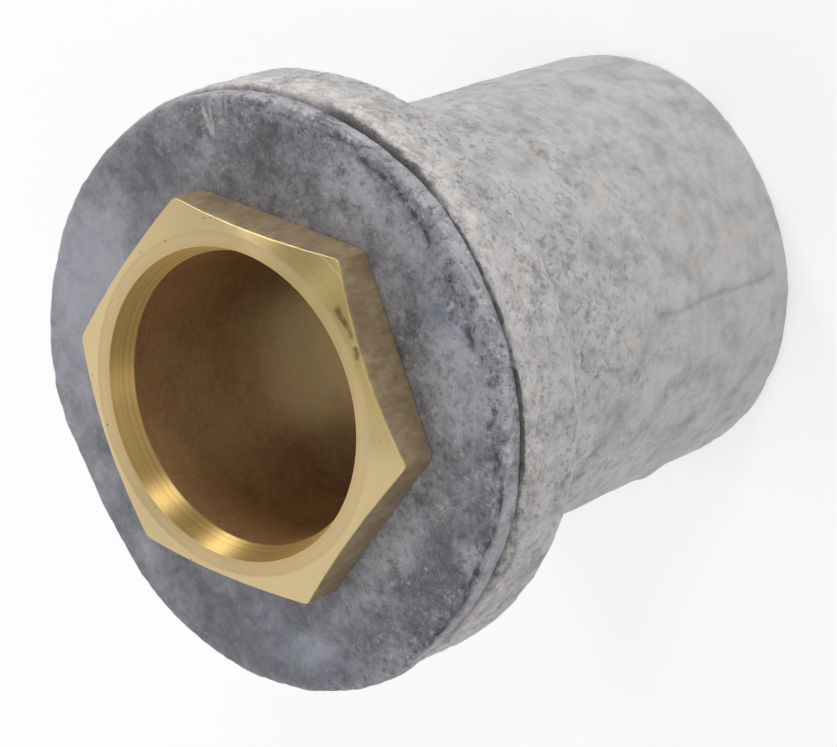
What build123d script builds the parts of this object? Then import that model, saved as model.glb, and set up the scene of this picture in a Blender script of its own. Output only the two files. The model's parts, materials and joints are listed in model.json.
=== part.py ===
from build123d import *
import os
from math import cos, exp, radians, sin, tan

# A flanged coupler for 25 mm screwed conduit: a cast and galvanised iron barrel with a flange,
# a lead sealing washer on the flange and a brass hexagon bush screwed in through the washer.
# Millimetres. The coupler stands on the open end of its barrel, and +Z runs along the bore to
# the hexagon. The origin is on the bore's axis, in the plane of the barrel's end.

os.makedirs("parts", exist_ok=True)

# M25 x 1.5 conduit thread: each threaded wall is a plain wall at the thread's full diameter
thread_r = 12.5
thread_pitch = 1.5
thread_depth = 0.6134 * thread_pitch
running_gap = 0.05  # between the bush's thread and the casting's, on the radius

# cast body
body_height = 42.0
barrel_end_r = 16.2
barrel_root_r = 17.2  # the barrel tapers so that it draws from its mould
barrel_edge_r = 1.6
barrel_mouth_chamfer = 1.1
core_relief_r = 12.95  # a cored ring, left untapped between the conduit's thread and the bush's
core_relief_bottom = 20.4
core_relief_width = 2.0
flange_r = 22.5
flange_thickness = 7.1
flange_front_chamfer = 0.4
flange_back_edge_r = 1.7
flange_root_chamfer = 1.2
flange_mouth_chamfer = 0.6

# lead washer, squeezed out of round: pressed flat on one side and spread beside it
washer_thickness = 1.7
washer_r = 22.0
washer_hole_r = 12.8
washer_edge_chamfer = 0.2
washer_arcs = 18
bulge = 0.95
bulge_angle = 138.0
bulge_spread = 30.0
flat_depth = 1.3
flat_angle = 72.0
flat_spread = 21.0

# brass bush
across_flats = 27.0
head_height = 4.2
face_ring_r = 12.9  # the turned flat ring, before the corner cone starts
corner_cone_angle = 22.0
shank_length = 22.0
relief_width = 1.6
relief_depth = 0.75
bore_r = 11.05
mouth_r = 11.8
mouth_depth = 2.0
mouth_edge_chamfer = 0.15
bore_end_chamfer = 0.4

# heights worked out from the sizes above
flange_back_z = body_height - flange_thickness
head_z = body_height + washer_thickness
face_z = head_z + head_height
shank_r = thread_r - running_gap
shank_end_z = head_z - shank_length


def washer_rim(angle):
    # a point on the washer's rim: a circle, plus one soft bulge, less one soft flat
    angle = angle % 360
    spread_out = bulge * exp(-(((angle - bulge_angle) / bulge_spread) ** 2))
    pressed_in = flat_depth * exp(-(((angle - flat_angle) / flat_spread) ** 2))
    radius = washer_r + spread_out - pressed_in
    return (radius * cos(radians(angle)), radius * sin(radians(angle)))


def circles_at(part, radius, height):
    # the round edges of that radius that lie at that height
    round_edges = part.edges().filter_by(GeomType.CIRCLE)
    return round_edges.filter_by(
        lambda edge: abs(edge.radius - radius) < 0.01
        and abs(edge.center().Z - height) < 0.01
    )


# Cast body: a tapered barrel and a thick flange, tapped from both ends to a cored ring
with BuildPart() as coupler_body:
    with BuildSketch(Plane.XZ):
        with BuildLine():
            Polyline(
                (0, 0),
                (barrel_end_r, 0),
                (barrel_root_r, flange_back_z),
                (flange_r, flange_back_z),
                (flange_r, body_height),
                (0, body_height),
                close=True,
            )
        make_face()
    revolve(axis=Axis.Z)
    chamfer(circles_at(coupler_body, barrel_root_r, flange_back_z), flange_root_chamfer)
    fillet(circles_at(coupler_body, flange_r, flange_back_z), flange_back_edge_r)
    chamfer(circles_at(coupler_body, flange_r, body_height), flange_front_chamfer)
    fillet(circles_at(coupler_body, barrel_end_r, 0), barrel_edge_r)
    with BuildSketch(Plane.XY):
        Circle(thread_r)
    extrude(amount=body_height, mode=Mode.SUBTRACT)
    with BuildSketch(Plane.XY.offset(core_relief_bottom)):
        Circle(core_relief_r)
    extrude(amount=core_relief_width, mode=Mode.SUBTRACT)
    chamfer(circles_at(coupler_body, thread_r, 0), barrel_mouth_chamfer)
    chamfer(circles_at(coupler_body, thread_r, body_height), flange_mouth_chamfer)
coupler_body.part.label = "coupler_body"
export_step(coupler_body.part, "parts/coupler_body.step")

# Lead washer: an out-of-round disc that lies on the flange
with BuildPart() as lead_washer:
    with BuildSketch(Plane.XY.offset(body_height)):
        with BuildLine():
            arc_angle = 360 / washer_arcs
            for step in range(washer_arcs):
                start = step * arc_angle
                middle = start + arc_angle / 2
                ThreePointArc(washer_rim(start), washer_rim(middle), washer_rim(start + arc_angle))
        make_face()
        Circle(washer_hole_r, mode=Mode.SUBTRACT)
    extrude(amount=washer_thickness)
    arcs = lead_washer.edges().filter_by(GeomType.CIRCLE)
    chamfer(arcs.filter_by(lambda edge: edge.radius > washer_hole_r + 1), washer_edge_chamfer)
lead_washer.part.label = "lead_washer"
export_step(lead_washer.part, "parts/lead_washer.step")

# Brass bush: hexagon bar with its face turned to a ring and a corner cone, a threaded shank
# with a relief behind the head, and a bore that opens into a rounded mouth for the cables
with BuildPart() as brass_bush:
    with BuildSketch(Plane.XY.offset(head_z)):
        RegularPolygon(radius=across_flats / 2, side_count=6, major_radius=False, rotation=30)
    extrude(amount=head_height)
    cone_reach = across_flats
    cone_drop = (cone_reach - face_ring_r) * tan(radians(corner_cone_angle))
    with BuildSketch(Plane.XZ):
        with BuildLine():
            Polyline(
                (0, face_z),
                (face_ring_r, face_z),
                (cone_reach, face_z - cone_drop),
                (cone_reach, face_z - cone_drop - head_height),
                (0, face_z - cone_drop - head_height),
                close=True,
            )
        make_face()
    revolve(axis=Axis.Z, mode=Mode.INTERSECT)
    with BuildSketch(Plane.XY.offset(shank_end_z)):
        Circle(shank_r)
    extrude(amount=shank_length)
    chamfer(circles_at(brass_bush, shank_r, shank_end_z), thread_depth)
    with BuildSketch(Plane.XY.offset(head_z)):
        Circle(shank_r)
        Circle(shank_r - relief_depth, mode=Mode.SUBTRACT)
    extrude(amount=-relief_width, mode=Mode.SUBTRACT)
    with BuildSketch(Plane.XZ):
        with BuildLine():
            Polyline(
                (0, shank_end_z),
                (bore_r, shank_end_z),
                (bore_r, face_z - mouth_depth),
                (mouth_r, face_z),
                (0, face_z),
                close=True,
            )
        make_face()
    revolve(axis=Axis.Z, mode=Mode.SUBTRACT)
    chamfer(circles_at(brass_bush, bore_r, shank_end_z), bore_end_chamfer)
    chamfer(circles_at(brass_bush, mouth_r, face_z), mouth_edge_chamfer)
brass_bush.part.label = "brass_bush"
export_step(brass_bush.part, "parts/brass_bush.step")
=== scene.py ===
import json
import math

import bpy
import numpy as np
from mathutils import Matrix, Vector


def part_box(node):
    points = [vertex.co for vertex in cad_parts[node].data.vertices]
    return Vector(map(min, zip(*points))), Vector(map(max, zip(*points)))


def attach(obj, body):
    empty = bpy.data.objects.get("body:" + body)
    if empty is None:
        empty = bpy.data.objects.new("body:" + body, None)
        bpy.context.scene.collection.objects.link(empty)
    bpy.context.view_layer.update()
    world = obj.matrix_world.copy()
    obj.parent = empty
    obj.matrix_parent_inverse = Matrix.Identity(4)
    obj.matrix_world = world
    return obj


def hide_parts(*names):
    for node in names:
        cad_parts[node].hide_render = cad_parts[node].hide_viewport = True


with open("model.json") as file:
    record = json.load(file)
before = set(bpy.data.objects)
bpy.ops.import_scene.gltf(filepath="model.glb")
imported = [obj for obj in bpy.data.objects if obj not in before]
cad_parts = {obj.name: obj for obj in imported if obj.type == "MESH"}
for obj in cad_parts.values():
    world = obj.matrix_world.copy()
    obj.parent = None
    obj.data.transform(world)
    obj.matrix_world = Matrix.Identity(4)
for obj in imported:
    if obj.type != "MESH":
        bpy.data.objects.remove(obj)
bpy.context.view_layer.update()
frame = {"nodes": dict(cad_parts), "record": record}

mm = 0.001
print("frame loaded:", ", ".join(sorted(frame["nodes"])))


def boxOf(node):
    low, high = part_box(node)  # in metres, wanted here in millimetres
    return np.array(low) / mm, np.array(high) / mm


def mountSizes(name):
    return next(mount["dims"] for mount in frame["record"]["mounts"] if mount["name"] == name)


# sizes that the pieces share, all in millimetres, taken from the frame
bodyLow, bodyHigh = boxOf("coupler_body")
washerLow, washerHigh = boxOf("lead_washer")
bushLow, bushHigh = boxOf("brass_bush")
threadRadius = mountSizes("conduit_thread")["r_mm"]
boreRadius = mountSizes("cable_bore")["r_mm"]
threadPitch = 1.5
runningGap = 0.05


# the camera looks down on the hexagon from in front, rolled so that the coupler seems to lie on its side
viewpoint = {
    "azimuth": 334.042,
    "elevation": 47.719,
    "roll": 111.082,
    "target": (-0.985, 4.306, 24.0),
    "distance": 418.41,
    "lens": 236.56,
    "sensor": 36.0,
}


def setCamera():
    turn = math.radians(viewpoint["azimuth"])
    drop = math.radians(viewpoint["elevation"])
    roll = math.radians(viewpoint["roll"])
    ahead = Vector((-math.sin(turn) * math.cos(drop), math.cos(turn) * math.cos(drop), -math.sin(drop)))
    level = Vector((math.cos(turn), math.sin(turn), 0.0))
    upright = level.cross(ahead)
    up = upright * math.cos(roll) + level * math.sin(roll)
    right = ahead.cross(up)
    data = bpy.data.cameras.new("camera")
    data.lens = viewpoint["lens"]
    data.sensor_fit = "HORIZONTAL"
    data.sensor_width = viewpoint["sensor"]
    data.clip_start = 0.01
    data.clip_end = 20.0
    camera = bpy.data.objects.new("camera", data)
    place = Matrix((right, up, -ahead)).transposed().to_4x4()
    place.translation = (Vector(viewpoint["target"]) - ahead * viewpoint["distance"]) * mm
    camera.matrix_world = place
    bpy.context.scene.collection.objects.link(camera)
    bpy.context.scene.camera = camera


# soft studio light: a pale surround, a light table for a floor, and lamps
studio = {
    "surround": 0.32,
    "surroundColor": (0.97, 0.985, 1.0, 1.0),
    # each lamp: degrees round +Z, degrees up, watts, metres across
    "lamps": {
        "frontLamp": (284.0, 14.0, 1.1, 0.20),
        "sideLamp": (332.0, 14.0, 1.25, 0.18),
        "keyLamp": (236.0, 46.0, 0.65, 0.6),
        "leftLamp": (205.0, 25.0, 0.3, 0.3),
        "topLamp": (143.0, 67.0, 0.33, 0.6),
        "backLamp": (78.0, 34.0, 2.7, 1.5),
    },
    "lampDistance": 0.7,
    "floorShade": 0.82,
    "floorGlow": 0.40,
    "floorSize": 3.0,
}


def setLamp(name, turn, rise, power, size):
    data = bpy.data.lights.new(name, "AREA")
    data.shape = "DISK"
    data.size = size
    data.energy = power
    lamp = bpy.data.objects.new(name, data)
    turn, rise = math.radians(turn), math.radians(rise)
    place = Vector((math.cos(turn) * math.cos(rise), math.sin(turn) * math.cos(rise), math.sin(rise)))
    lamp.location = place * studio["lampDistance"]
    lamp.rotation_euler = place.to_track_quat("Z", "Y").to_euler()
    bpy.context.scene.collection.objects.link(lamp)


def setStudio():
    world = bpy.data.worlds.new("paleRoom")
    world.use_nodes = True
    background = world.node_tree.nodes["Background"]
    background.inputs["Color"].default_value = studio["surroundColor"]
    background.inputs["Strength"].default_value = studio["surround"]
    bpy.context.scene.world = world
    for name, settings in studio["lamps"].items():
        setLamp(name, *settings)
    half = studio["floorSize"] / 2
    mesh = bpy.data.meshes.new("floor")
    corners = [(-half, -half, 0), (half, -half, 0), (half, half, 0), (-half, half, 0)]
    mesh.from_pydata(corners, [], [(0, 1, 2, 3)])
    floor = bpy.data.objects.new("floor", mesh)
    bpy.context.scene.collection.objects.link(floor)
    paint = bpy.data.materials.new("lightTable")
    paint.use_nodes = True
    shader = paint.node_tree.nodes["Principled BSDF"]
    grey = studio["floorShade"]
    shader.inputs["Base Color"].default_value = (grey, grey, grey, 1.0)
    shader.inputs["Roughness"].default_value = 0.9
    shader.inputs["Specular IOR Level"].default_value = 0.0
    shader.inputs["Emission Color"].default_value = (1.0, 1.0, 1.0, 1.0)
    shader.inputs["Emission Strength"].default_value = studio["floorGlow"]
    mesh.materials.append(paint)


setCamera()
setStudio()
bpy.context.scene.view_settings.view_transform = "Standard"
print("camera, floor and light set")


def softNoise(points, size, seed):
    # a random height at each corner of a lattice of that size, eased from corner to corner: -1 to 1.
    # Three primes scatter the lattice's corners over the list of heights
    heights = np.random.default_rng(seed).uniform(-1.0, 1.0, 4096)
    primes = (73856093, 19349663, 83492791)
    cell = np.floor(points / size).astype(np.int64)
    part = points / size - cell
    part = part * part * (3.0 - 2.0 * part)
    level = np.zeros(points.shape[:-1])
    for corner in np.ndindex(2, 2, 2):
        shares = np.where(np.array(corner) == 1, part, 1.0 - part).prod(axis=-1)
        address = np.bitwise_xor.reduce((cell + corner) * primes, axis=-1)
        level += shares * heights[address % len(heights)]
    return level


def layeredNoise(points, size, seed, layers):
    # soft noise added to itself at half the size and half the height, layer by layer
    return sum(softNoise(points, size / 2**k, seed + k) / 2**k for k in range(layers))


def easedStep(value, low, high):
    # 0 below low, 1 above high, and a smooth ramp between
    part = np.clip((value - low) / (high - low), 0.0, 1.0)
    return part * part * (3.0 - 2.0 * part)


def hump(value, centre, spread):
    # a bell of height 1 about the centre
    return np.exp(-(((value - centre) / spread) ** 2))


def angleFrom(angles, centre):
    # degrees from the centre, the short way round
    return (angles - centre + 180.0) % 360.0 - 180.0


def roundedSection(corners, angles, arcSteps=6):
    # a closed outline (across, up) for every angle round the axis. Each corner is (across, up, round,
    # steps): an arc of that radius touches both its sides, and the side after it has so many steps
    def everyAngle(value):
        return np.broadcast_to(value, angles.shape)

    spots = [np.stack([everyAngle(corner[0]), everyAngle(corner[1])]) for corner in corners]
    arcs = []
    for k, corner in enumerate(corners):
        bend = corner[2]
        back = spots[k - 1] - spots[k]
        on = spots[(k + 1) % len(spots)] - spots[k]
        back = back / np.linalg.norm(back, axis=0)
        on = on / np.linalg.norm(on, axis=0)
        if np.ndim(bend) == 0 and bend == 0:
            arcs.append([spots[k]])
            continue
        half = 0.5 * np.arccos(np.clip((back * on).sum(axis=0), -1.0, 1.0))
        middle = spots[k] + (back + on) / np.linalg.norm(back + on, axis=0) * bend / np.sin(half)
        start = spots[k] + back * bend / np.tan(half) - middle
        end = spots[k] + on * bend / np.tan(half) - middle
        sweep = math.pi - 2.0 * half
        arc = []
        for share in np.linspace(0.0, 1.0, arcSteps + 1):
            spoke = np.sin((1 - share) * sweep) * start + np.sin(share * sweep) * end
            arc.append(middle + spoke / np.sin(sweep))
        arcs.append(arc)
    rows, stretch = [], []
    for k, corner in enumerate(corners):
        steps = corner[3]
        start, end = arcs[k][-1], arcs[(k + 1) % len(arcs)][0]
        run = [start + (end - start) * step / steps for step in range(1, steps)]
        rows += arcs[k] + run
        stretch += [k] * (len(arcs[k]) + len(run))
    return np.stack(rows), np.array(stretch)


def roundTheAxis(section, angles):
    # carries the section round +Z: x = across cos(angle), y = across sin(angle), z = up
    turn = np.radians(angles)
    across, up = section[:, 0], section[:, 1]
    return np.stack([across * np.cos(turn), across * np.sin(turn), up], axis=-1)


def outward(points):
    # the direction square to the surface at every point of a grid closed both ways
    along = np.roll(points, -1, axis=1) - np.roll(points, 1, axis=1)
    over = np.roll(points, -1, axis=0) - np.roll(points, 1, axis=0)
    square = np.cross(along, over)
    return square / np.maximum(np.linalg.norm(square, axis=-1, keepdims=True), 1e-12)


def gridPiece(name, points, surfaces, surfaceOfRow, body, capEnds=False):
    # a mesh from a grid of points (rows, columns). Columns close on themselves, and so do rows unless
    # the ends are capped
    rows, columns = points.shape[:2]
    index = np.arange(rows * columns).reshape(rows, columns)
    besides = np.roll(index, -1, axis=1)
    quads = np.stack([index, besides, np.roll(besides, -1, axis=0), np.roll(index, -1, axis=0)], axis=-1)
    if capEnds:
        quads = quads[:-1]
    faces = quads.reshape(-1, 4).tolist()
    if capEnds:
        faces += [index[0][::-1].tolist(), index[-1].tolist()]
    mesh = bpy.data.meshes.new(name)
    mesh.from_pydata((points.reshape(-1, 3) * mm).tolist(), [], faces)
    for surface in surfaces:
        mesh.materials.append(surface)
    owners = np.repeat(surfaceOfRow[: len(quads)], columns).tolist()
    owners += [0] * (len(faces) - len(owners))
    mesh.polygons.foreach_set("material_index", owners)
    mesh.polygons.foreach_set("use_smooth", [True] * len(faces))
    mesh.update()
    piece = bpy.data.objects.new(name, mesh)
    bpy.context.scene.collection.objects.link(piece)
    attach(piece, body)
    return piece


def storeOnPoints(piece, name, values):
    # keeps one number for each point, for the material to read
    store = piece.data.attributes.new(name, "FLOAT", "POINT")
    store.data.foreach_set("value", np.ascontiguousarray(values, dtype=np.float32).ravel())


# materials are small node trees: each helper adds one node and returns the socket that leaves it. In a
# surface's function v holds its values. Among them a noise is (size in millimetres, seed, detail,
# roughness, warp), a cut is (from, to, least, most), and a side is (degrees round +Z, then a cut of the
# cosine of the angle from there)
def newSurface(name):
    surface = bpy.data.materials.new(name)
    surface.use_nodes = True
    tree = surface.node_tree
    place = tree.nodes.new("ShaderNodeTexCoord").outputs["Object"]
    return surface, tree, tree.nodes["Principled BSDF"], place


def addNode(tree, kind, feeds, out=0, **settings):
    node = tree.nodes.new("ShaderNode" + kind)
    for field, value in settings.items():
        setattr(node, field, value)
    for key, value in feeds.items():
        if isinstance(value, bpy.types.NodeSocket):
            tree.links.new(value, node.inputs[key])
        else:
            node.inputs[key].default_value = value
    return node.outputs[out]


def cloud(tree, place, size, seed, detail=3.0, rough=0.55, warp=0.0):
    # layered noise, 0 to 1, about 0.5
    feeds = {"Vector": place, "W": seed, "Scale": 1.0 / (size * mm), "Detail": detail}
    feeds.update({"Roughness": rough, "Distortion": warp})
    return addNode(tree, "TexNoise", feeds, noise_dimensions="4D")


def ramped(tree, value, low, high, least=0.0, most=1.0):
    # least at low, most at high, eased between and level beyond
    feeds = {"Value": value, "From Min": low, "From Max": high, "To Min": least, "To Max": most}
    return addNode(tree, "MapRange", feeds, interpolation_type="SMOOTHSTEP")


def spanned(tree, distance, low, high, least=0.0, most=1.0):
    # the same for a distance, with low and high in millimetres
    return ramped(tree, distance, low * mm, high * mm, least, most)


def patches(tree, place, noise, cut):
    # layered noise cut into patches
    return ramped(tree, cloud(tree, place, *noise), *cut)


def stored(tree, name):
    # a number kept on the mesh's points
    return addNode(tree, "Attribute", {}, out=2, attribute_name=name)


def worked(tree, how, first, second=0.0):
    return addNode(tree, "Math", {0: first, 1: second}, operation=how)


def product(tree, first, *others):
    for other in others:
        first = worked(tree, "MULTIPLY", first, other)
    return first


def total(tree, first, *others):
    for other in others:
        first = worked(tree, "ADD", first, other)
    return first


def largest(tree, first, *others):
    for other in others:
        first = worked(tree, "MAXIMUM", first, other)
    return first


def centred(tree, place, noise, reach):
    # layered noise turned to minus and plus half the reach
    return product(tree, worked(tree, "SUBTRACT", cloud(tree, place, *noise), 0.5), reach)


def apart(tree, first, second):
    # how far the two numbers are from each other
    return worked(tree, "ABSOLUTE", worked(tree, "SUBTRACT", first, second))


def mixed(tree, share, first, second, how="MIX"):
    # two colours in that share
    return addNode(tree, "Mix", {0: share, 6: first, 7: second}, out=2, data_type="RGBA", blend_type=how)


def stretched(tree, place, x, y, z):
    # the place with each direction scaled, so that a pattern is drawn out along the small ones
    return addNode(tree, "VectorMath", {0: place, 1: (x, y, z)}, operation="MULTIPLY")


def distanceFromAxis(tree, place):
    flat = stretched(tree, place, 1.0, 1.0, 0.0)
    return addNode(tree, "VectorMath", {0: flat}, out=1, operation="LENGTH")


def heightOf(tree, place):
    return addNode(tree, "SeparateXYZ", {0: place}, out=2)


def angleOf(tree, place):
    # degrees round the axis, -180 to 180
    split = tree.nodes.new("ShaderNodeSeparateXYZ")
    tree.links.new(place, split.inputs[0])
    radians = worked(tree, "ARCTAN2", split.outputs[1], split.outputs[0])
    return product(tree, radians, 180.0 / math.pi)


def bumped(tree, shader, heights, bumps):
    # a chain of bumps, one for each height: (depth in millimetres, strength)
    last = None
    for height, (depth, strength) in zip(heights, bumps):
        feeds = {"Height": height, "Distance": depth * mm, "Strength": strength}
        if last:
            feeds["Normal"] = last
        last = addNode(tree, "Bump", feeds)
    tree.links.new(last, shader.inputs["Normal"])


def shade(red, green, blue):
    # a colour as the eye reads it, 0 to 255, turned to light
    parts = [part / 255.0 for part in (red, green, blue)]
    return tuple(p / 12.92 if p <= 0.04045 else ((p + 0.055) / 1.055) ** 2.4 for p in parts) + (1.0,)


zinc = {
    "light": shade(186, 185, 184),
    "dark": shade(155, 156, 154),
    "warm": shade(192, 181, 178),
    "cool": shade(161, 169, 167),
    "mark": shade(96, 93, 91),
    "fleck": shade(218, 208, 206),
    # near-black for the painted shade in the joint under the washer
    "soot": shade(58, 54, 54),
    "metal": 0.2,
    "gloss": 0.3,
    # the mottled grey: its noise, the cut from dark to light and the cut to its roughness
    "mottle": (2.2, 1.0, 5.0, 0.58),
    "mottleCut": (0.33, 0.67),
    "roughnessCut": (0.3, 0.7, 0.68, 0.58),
    "endPaler": (10.0, 1.0, 0.05, 0.1),
    "flangeDarker": 0.03,
    "warmPatches": ((1.5, 2.0, 4.0), (0.5, 0.68, 0.0, 0.55)),
    "coolPatches": ((1.8, 3.0, 4.0), (0.5, 0.68, 0.0, 0.55)),
    # how many marks there are: a cut by height in millimetres, and patches
    "markHeights": (6.0, 32.0, 0.10, 0.50),
    "markPatches": ((5.0, 5.0, 3.0), (0.36, 0.58, 0.35, 1.0)),
    # the skin's own beads and hollows, pale on top and dark between
    "peel": (0.95, 9.0, 3.0, 0.58, 0.3),
    "peelPale": (0.54, 0.70),
    "peelDark": (0.46, 0.32),
    # crooked marks: (size, seed, width)
    "worms": (0.9, 4.0, 0.09),
    "pits": ((0.55, 6.0, 5.0, 0.7, 0.4), (0.55, 0.67)),
    "pitShares": (0.10, 0.72),  # on the barrel and on the flange
    # painted shade in the groove of each mould seam, by distance from it
    "seamLine": (0.38, 0.02, 0.0, 0.26),
    "grain": (0.4, 8.0, 3.0, 0.6),
    # cuts by depth in millimetres below the flange's face
    "flangeDepths": (8.0, 4.5),
    "fleckDepths": (4.6, 1.8, 0.2, 1.0),
    "dirtDepths": (2.6, 0.6),
    # the painted shade in the joint under the washer, broad and as a thin line
    "sootDepths": (0.5, 0.0),
    "thinSootDepths": (0.05, 0.0),
    "sootReach": (1.7, 1.0),  # in from the rim: nothing further in, all nearer
    "fleckSide": (303.0, 0.62, 0.98, 0.6, 1.1),
    "flecks": ((1.0, 7.0, 6.0, 0.75), (0.43, 0.63, 0.14, 0.88)),
    "dirtSide": (203.0, 0.90, 0.985),
    "dirt": ((1.1, 11.0, 6.0, 0.75), (0.47, 0.59, 0.0, 0.85)),
    # the sides of the painted shade in the joint, and its ragged edge
    "sootSide": (280.0, 0.94, 0.99, 0.0, 0.8),
    "thinSootSide": (236.0, 0.80, 0.93, 0.0, 0.7),
    "ragged": ((1.2, 10.0, 5.0, 0.7), (0.4, 0.7, 0.0, 0.35 * mm)),
    "thinRagged": 0.15,  # the share of that raggedness in the thin line
    # the bumps of the skin, its grain and the dark marks: (depth in millimetres, strength)
    "bumps": ((0.5, 0.9), (0.03, 0.6), (-0.08, 0.8)),
}


def towards(tree, place, side, *cut):
    # a share by angle round the axis: the cosine of the angle from that side, cut
    away = worked(tree, "SUBTRACT", angleOf(tree, place), side)
    away = worked(tree, "COSINE", product(tree, away, math.pi / 180.0))
    return ramped(tree, away, *cut)


def wormMarks(tree, place, size, seed, width):
    # short crooked marks: where soft noise passes its middle value, broken up by a second noise
    soft = cloud(tree, place, size, seed, 2.0, 0.5, 0.6)
    line = ramped(tree, apart(tree, soft, 0.5), width, 0.0)
    return product(tree, line, patches(tree, place, (0.7 * size, seed + 0.5), (0.46, 0.60)))


def byDepth(tree, height, start, end, *shares):
    # a cut by depth in millimetres below the flange's face
    return spanned(tree, height, bodyHigh[2] - start, bodyHigh[2] - end, *shares)


def zincSurface():
    # hot-dip zinc on a rough casting: mottled grey with short dark marks, thickest on the flange,
    # where pale flecks gather beside the washer, with painted shade in the joint under the washer and in
    # the grooves of the mould seams
    v = zinc
    surface, tree, shader, place = newSurface("galvanisedIron")
    height = heightOf(tree, place)
    flange = byDepth(tree, height, *v["flangeDepths"])
    # the mottled grey, a little paler near the barrel's end, with warm and cool patches
    mottle = cloud(tree, place, *v["mottle"])
    paler = spanned(tree, height, *v["endPaler"])
    paler = worked(tree, "SUBTRACT", paler, product(tree, flange, v["flangeDarker"]))
    base = mixed(tree, ramped(tree, total(tree, mottle, paler), *v["mottleCut"]), v["dark"], v["light"])
    base = mixed(tree, patches(tree, place, *v["warmPatches"]), base, v["warm"])
    base = mixed(tree, patches(tree, place, *v["coolPatches"]), base, v["cool"])
    # beads and hollows, as many as the height and the patch say
    many = product(tree, spanned(tree, height, *v["markHeights"]), patches(tree, place, *v["markPatches"]))
    peel = cloud(tree, place, *v["peel"])
    base = mixed(tree, product(tree, ramped(tree, peel, *v["peelPale"]), many), base, v["fleck"])
    base = mixed(tree, product(tree, ramped(tree, peel, *v["peelDark"]), many), base, v["mark"])
    # dark: crooked marks, pits, a dirty patch on the flange's edge, and painted shade in the groove along
    # each mould seam
    marks = product(tree, wormMarks(tree, place, *v["worms"]), many)
    pits = product(tree, patches(tree, place, *v["pits"]), ramped(tree, flange, 0.0, 1.0, *v["pitShares"]))
    dirt = product(tree, towards(tree, place, *v["dirtSide"]), byDepth(tree, height, *v["dirtDepths"]))
    dirt = product(tree, dirt, patches(tree, place, *v["dirt"]))
    line = ramped(tree, worked(tree, "ABSOLUTE", stored(tree, "seamGap")), *v["seamLine"])
    dark = largest(tree, marks, pits, dirt, line)
    base = mixed(tree, dark, base, v["mark"])
    # pale flecks, most on the flange's rim near the washer and on one side
    beside = product(tree, byDepth(tree, height, *v["fleckDepths"]), towards(tree, place, *v["fleckSide"]))
    flecks = product(tree, flange, beside, patches(tree, place, *v["flecks"]))
    base = mixed(tree, flecks, base, v["fleck"])
    # painted shade in the joint under the washer: ragged on one side, a thin line on another. It creeps in
    # only a little way, and the rest of the face under the washer is left unshaded
    ragged = patches(tree, place, *v["ragged"])
    broad = byDepth(tree, total(tree, height, ragged), *v["sootDepths"])
    broad = product(tree, broad, towards(tree, place, *v["sootSide"]))
    thin = byDepth(tree, total(tree, height, product(tree, ragged, v["thinRagged"])), *v["thinSootDepths"])
    thin = product(tree, thin, towards(tree, place, *v["thinSootSide"]))
    reach = [bodyHigh[0] - inset for inset in v["sootReach"]]
    crept = spanned(tree, distanceFromAxis(tree, place), *reach)
    base = mixed(tree, product(tree, largest(tree, broad, thin), crept), base, v["soot"])
    tree.links.new(base, shader.inputs["Base Color"])
    tree.links.new(ramped(tree, mottle, *v["roughnessCut"]), shader.inputs["Roughness"])
    shader.inputs["Metallic"].default_value = v["metal"]
    shader.inputs["Specular IOR Level"].default_value = v["gloss"]
    skin = product(tree, peel, many)
    grain = cloud(tree, place, *v["grain"])
    bumped(tree, shader, (skin, grain, dark), v["bumps"])
    return surface


casting = {
    "columns": 380,
    "barrelEndRadius": 16.2,
    "barrelRootRadius": 17.2,
    "barrelEdge": 1.6,
    "barrelMouth": 1.1,
    "flangeThickness": 7.1,
    "flangeRoot": 2.0,
    "flangeBackEdge": 1.7,
    # the front edge is rounder where the washer stands off it: (round elsewhere, extra, side, spread)
    "flangeFrontEdge": (0.28, 0.4, 284.0, 20.0),
    "flangeMouth": 0.6,
    "reliefRadius": 12.95,
    "reliefBottom": 20.4,
    "reliefTop": 22.4,
    "wallInset": 0.03,  # the tapped wall stands this far outside the thread that covers it
    # the cast skin grows over these distances outside the thread's wall and above the barrel's end, and
    # it fades over these in from the flange's rim and below its face, where the washer sits
    "skinFromWall": (2.0, 2.8),
    "skinFromEnd": (0.15, 0.6),
    "seatFromRim": (1.6, 0.7),
    "seatFromFace": (0.3, 0.1),
    # its lumps and grain: (size, height). Its pits and its beads near the rim: (size, height, from, to)
    "lumps": (3.0, 0.07),
    "grain": (0.9, 0.035),
    "pits": (0.9, 0.10, 0.45, 0.85),
    "beads": (0.8, 0.10, 0.35, 0.8),
    "beadDepths": (7.0, 2.0),
    "seams": (225.0, 45.0),
    "seamEnds": (2.6, 18.5),
    "seamHalfWidth": 0.46,
    "seamDepth": 0.075,
    "seamWander": 0.3,
    # the barrel's end is a little out of round: (angle, spread, amount)
    "endSwell": (288.0, 30.0, 0.42),
    # one blob of zinc: (angle, height, size, amount)
    "blob": (157.0, 8.5, 1.1, 0.3),
    "noSeam": 9.0,  # the distance stored where no seam is near
    "seed": 11,
}


def anglesOf(points):
    return np.degrees(np.arctan2(points[..., 1], points[..., 0]))


def seamShare(points):
    # the mould seams' groove and lip, each 0 to 1, and how many millimetres away the nearest seam is
    radius, up = np.hypot(points[..., 0], points[..., 1]), points[..., 2]
    angles = anglesOf(points)
    low, high = casting["seamEnds"]
    here = easedStep(up, low - 0.5, low + 1.0) * (1.0 - easedStep(up, high - 2.0, high + 1.0))
    half = casting["seamHalfWidth"]
    groove, lip, gap = np.zeros_like(up), np.zeros_like(up), np.full_like(up, casting["noSeam"])
    wander = casting["seamWander"] * softNoise(points, 2.5, casting["seed"] + 40)
    for seam in casting["seams"]:
        aside = np.radians(angleFrom(angles, seam)) * radius + wander
        groove += here * hump(aside, 0.0, half)
        lip += here * hump(aside, 1.6 * half, half)
        gap = np.where(np.abs(aside) < np.abs(gap), aside, gap)
    return groove, lip, np.where(here > 0.3, gap, casting["noSeam"])


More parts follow.
